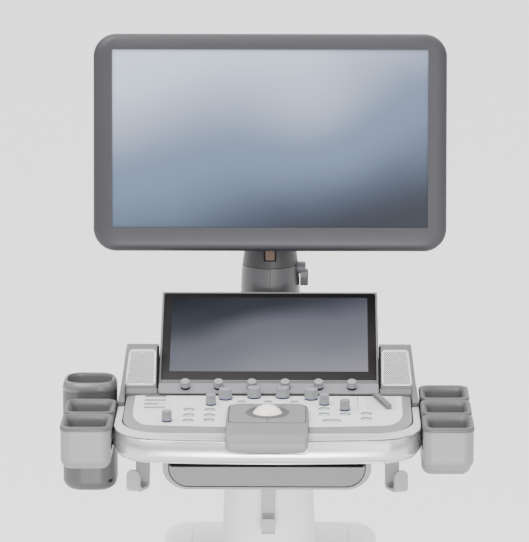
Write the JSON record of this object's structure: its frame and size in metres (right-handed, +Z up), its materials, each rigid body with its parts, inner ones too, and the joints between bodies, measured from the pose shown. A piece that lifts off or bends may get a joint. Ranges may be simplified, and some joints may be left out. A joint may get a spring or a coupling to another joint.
{
  "type": "ultrasound machine",
  "caption": "Cart-style ultrasound machine with a lifting control console, tilting touch panel, swivel monitor, probe holders, keyboard drawer and swivel casters.",
  "frame": {"origin": "on the floor under the lift column's axis, at the centre of the footprint", "axes": "+X to the user's right, +Y away from the user towards the back, +Z up"},
  "size_m": [0.61, 0.7, 1.3038],
  "materials": {
    "chassis_paint": "satin",
    "white_cover": "satin",
    "light_grey_plastic": "satin",
    "mid_grey_plastic": "satin",
    "dark_grey_plastic": "matte",
    "black_plastic": "gloss",
    "bright_metal": "brushed",
    "silver_plastic": "satin metallic",
    "deck_plastic": "fine texture",
    "plate_plastic": "satin",
    "grille_plastic": "perforated",
    "screen_glass": "polished",
    "knob_plastic": "satin",
    "bracket_paint": "satin",
    "bezel_plastic": "satin",
    "ball_plastic": "polished",
    "key_plastic": "satin",
    "wheel_rubber": "matte"
  },
  "bodies": {
    "base": {"base_chassis": "chassis_paint", "base_cover": "white_cover", "electronics_case": "white_cover", "port_panel": "mid_grey_plastic", "probe_sockets": "dark_grey_plastic", "power_inlet": "black_plastic", "guide_tube": "bright_metal", "pedestal_cover": "white_cover", "front_hook": "light_grey_plastic"},
    "console": {"mast": "bright_metal", "console_base": "light_grey_plastic", "console_rail": "silver_plastic", "deck": "deck_plastic", "key_plate": "plate_plastic", "palm_rest": "light_grey_plastic", "trackball_ring": "dark_grey_plastic", "rear_housing": "light_grey_plastic", "speaker_grilles": "grille_plastic", "drawer_surround": "light_grey_plastic", "holder_left": "light_grey_plastic", "holder_right": "light_grey_plastic", "cup_liners": "dark_grey_plastic", "gel_warmer": "light_grey_plastic", "warmer_collar": "black_plastic", "cable_hooks": "light_grey_plastic", "rear_handle": "mid_grey_plastic", "neck_cover_left": "mid_grey_plastic", "neck_cover_right": "mid_grey_plastic"},
    "drawer": {"drawer_tray": "mid_grey_plastic", "keyboard": "dark_grey_plastic"},
    "touch_panel": {"touch_housing": "silver_plastic", "touch_glass": "screen_glass"},
    "soft_knobs": {"soft_knobs": "knob_plastic"},
    "monitor_swivel": {"swivel_head": "mid_grey_plastic"},
    "monitor": {"tilt_bracket": "bracket_paint", "monitor_bezel": "bezel_plastic", "monitor_panel": "screen_glass", "monitor_back": "light_grey_plastic"},
    "lock_lever": {"lock_lever": "mid_grey_plastic"},
    "trackball": {"trackball": "ball_plastic"},
    "trackball_keys": {"trackball_keys": "light_grey_plastic"},
    "round_keys": {"round_keys": "key_plastic"},
    "bar_keys": {"bar_keys": "key_plastic"},
    "gain_sliders": {"gain_sliders": "mid_grey_plastic"},
    "gain_knob": {"gain_knob": "knob_plastic"},
    "depth_knob": {"depth_knob": "knob_plastic"},
    "zoom_knob": {"zoom_knob": "knob_plastic"},
    "focus_knob": {"focus_knob": "knob_plastic"},
    "mode_knob": {"mode_knob": "knob_plastic"},
    "angle_knob": {"angle_knob": "knob_plastic"},
    "baseline_knob": {"baseline_knob": "knob_plastic"},
    "steer_knob": {"steer_knob": "knob_plastic"},
    "caster_front_left": {"caster_fork_front_left": "mid_grey_plastic"},
    "wheel_front_left": {"caster_wheel_front_left": "wheel_rubber"},
    "caster_front_right": {"caster_fork_front_right": "mid_grey_plastic"},
    "wheel_front_right": {"caster_wheel_front_right": "wheel_rubber"},
    "caster_rear_left": {"caster_fork_rear_left": "mid_grey_plastic"},
    "wheel_rear_left": {"caster_wheel_rear_left": "wheel_rubber"},
    "caster_rear_right": {"caster_fork_rear_right": "mid_grey_plastic"},
    "wheel_rear_right": {"caster_wheel_rear_right": "wheel_rubber"}
  },
  "joints": [
    {"name": "console_lift", "type": "slide", "parent": "base", "child": "console", "axis": [0, 0, 1], "range_m": [0, 0.22]},
    {"name": "drawer_slide", "type": "slide", "parent": "console", "child": "drawer", "axis": [0, -1, 0], "range_m": [0, 0.17]},
    {"name": "touch_tilt", "type": "hinge", "parent": "console", "child": "touch_panel", "pos_m": [0, -0.0605, 0.8005], "axis": [1, 0, 0], "range_deg": [0, 12]},
    {"name": "monitor_swivel", "type": "hinge", "parent": "console", "child": "monitor_swivel", "pos_m": [0, 0.202, 0.946], "axis": [0, 0, 1], "range_deg": [-90, 90]},
    {"name": "monitor_tilt", "type": "hinge", "parent": "monitor_swivel", "child": "monitor", "pos_m": [0, 0.196, 0.995], "axis": [1, 0, 0], "range_deg": [-15, 13]},
    {"name": "lever_turn", "type": "hinge", "parent": "console", "child": "lock_lever", "pos_m": [0.042, 0.195, 0.937], "axis": [1, 0, 0], "range_deg": [0, 60]},
    {"name": "trackball_spin", "type": "hinge", "parent": "console", "child": "trackball", "pos_m": [0, -0.18519, 0.78781], "axis": [1, 0, 0], "continuous": true},
    {"name": "trackball_keys_press", "type": "slide", "parent": "console", "child": "trackball_keys", "axis": [0, 0.0611, -0.9981], "range_m": [0, 0.0012], "stiffness_N_per_m": 700, "springref_m": -0.003},
    {"name": "round_keys_press", "type": "slide", "parent": "console", "child": "round_keys", "axis": [0, 0.0611, -0.9981], "range_m": [0, 0.0012], "stiffness_N_per_m": 700, "springref_m": -0.003},
    {"name": "bar_keys_press", "type": "slide", "parent": "console", "child": "bar_keys", "axis": [0, 0.0611, -0.9981], "range_m": [0, 0.0012], "stiffness_N_per_m": 700, "springref_m": -0.003},
    {"name": "soft_knobs_press", "type": "slide", "parent": "touch_panel", "child": "soft_knobs", "axis": [0, 0.4061, -0.9138], "range_m": [0, 0.0012], "stiffness_N_per_m": 700, "springref_m": -0.003},
    {"name": "gain_sliders_slide", "type": "slide", "parent": "console", "child": "gain_sliders", "axis": [1, 0, 0], "range_m": [-0.0115, 0.009]},
    {"name": "gain_knob_turn", "type": "hinge", "parent": "console", "child": "gain_knob", "pos_m": [-0.063, -0.08248, 0.7973], "axis": [0, -0.0611, 0.9981], "continuous": true},
    {"name": "depth_knob_turn", "type": "hinge", "parent": "console", "child": "depth_knob", "pos_m": [-0.021, -0.07449, 0.79779], "axis": [0, -0.0611, 0.9981], "continuous": true},
    {"name": "zoom_knob_turn", "type": "hinge", "parent": "console", "child": "zoom_knob", "pos_m": [0.021, -0.07449, 0.79779], "axis": [0, -0.0611, 0.9981], "continuous": true},
    {"name": "focus_knob_turn", "type": "hinge", "parent": "console", "child": "focus_knob", "pos_m": [0.063, -0.08248, 0.7973], "axis": [0, -0.0611, 0.9981], "continuous": true},
    {"name": "mode_knob_turn", "type": "hinge", "parent": "console", "child": "mode_knob", "pos_m": [-0.145, -0.19776, 0.79025], "axis": [0, -0.0611, 0.9981], "continuous": true},
    {"name": "angle_knob_turn", "type": "hinge", "parent": "console", "child": "angle_knob", "pos_m": [-0.0835, -0.11292, 0.79544], "axis": [0, -0.0611, 0.9981], "continuous": true},
    {"name": "baseline_knob_turn", "type": "hinge", "parent": "console", "child": "baseline_knob", "pos_m": [0.082, -0.11092, 0.79556], "axis": [0, -0.0611, 0.9981], "continuous": true},
    {"name": "steer_knob_turn", "type": "hinge", "parent": "console", "child": "steer_knob", "pos_m": [0.112, -0.13887, 0.79385], "axis": [0, -0.0611, 0.9981], "continuous": true},
    {"name": "caster_front_left_swivel", "type": "hinge", "parent": "base", "child": "caster_front_left", "pos_m": [-0.222, -0.268, 0.12], "axis": [0, 0, 1], "continuous": true},
    {"name": "wheel_front_left_spin", "type": "hinge", "parent": "caster_front_left", "child": "wheel_front_left", "pos_m": [-0.222, -0.242, 0.05], "axis": [1, 0, 0], "continuous": true},
    {"name": "caster_front_right_swivel", "type": "hinge", "parent": "base", "child": "caster_front_right", "pos_m": [0.222, -0.268, 0.12], "axis": [0, 0, 1], "continuous": true},
    {"name": "wheel_front_right_spin", "type": "hinge", "parent": "caster_front_right", "child": "wheel_front_right", "pos_m": [0.222, -0.242, 0.05], "axis": [1, 0, 0], "continuous": true},
    {"name": "caster_rear_left_swivel", "type": "hinge", "parent": "base", "child": "caster_rear_left", "pos_m": [-0.222, 0.268, 0.12], "axis": [0, 0, 1], "continuous": true},
    {"name": "wheel_rear_left_spin", "type": "hinge", "parent": "caster_rear_left", "child": "wheel_rear_left", "pos_m": [-0.222, 0.294, 0.05], "axis": [1, 0, 0], "continuous": true},
    {"name": "caster_rear_right_swivel", "type": "hinge", "parent": "base", "child": "caster_rear_right", "pos_m": [0.222, 0.268, 0.12], "axis": [0, 0, 1], "continuous": true},
    {"name": "wheel_rear_right_spin", "type": "hinge", "parent": "caster_rear_right", "child": "wheel_rear_right", "pos_m": [0.222, 0.294, 0.05], "axis": [1, 0, 0], "continuous": true}
  ]
}
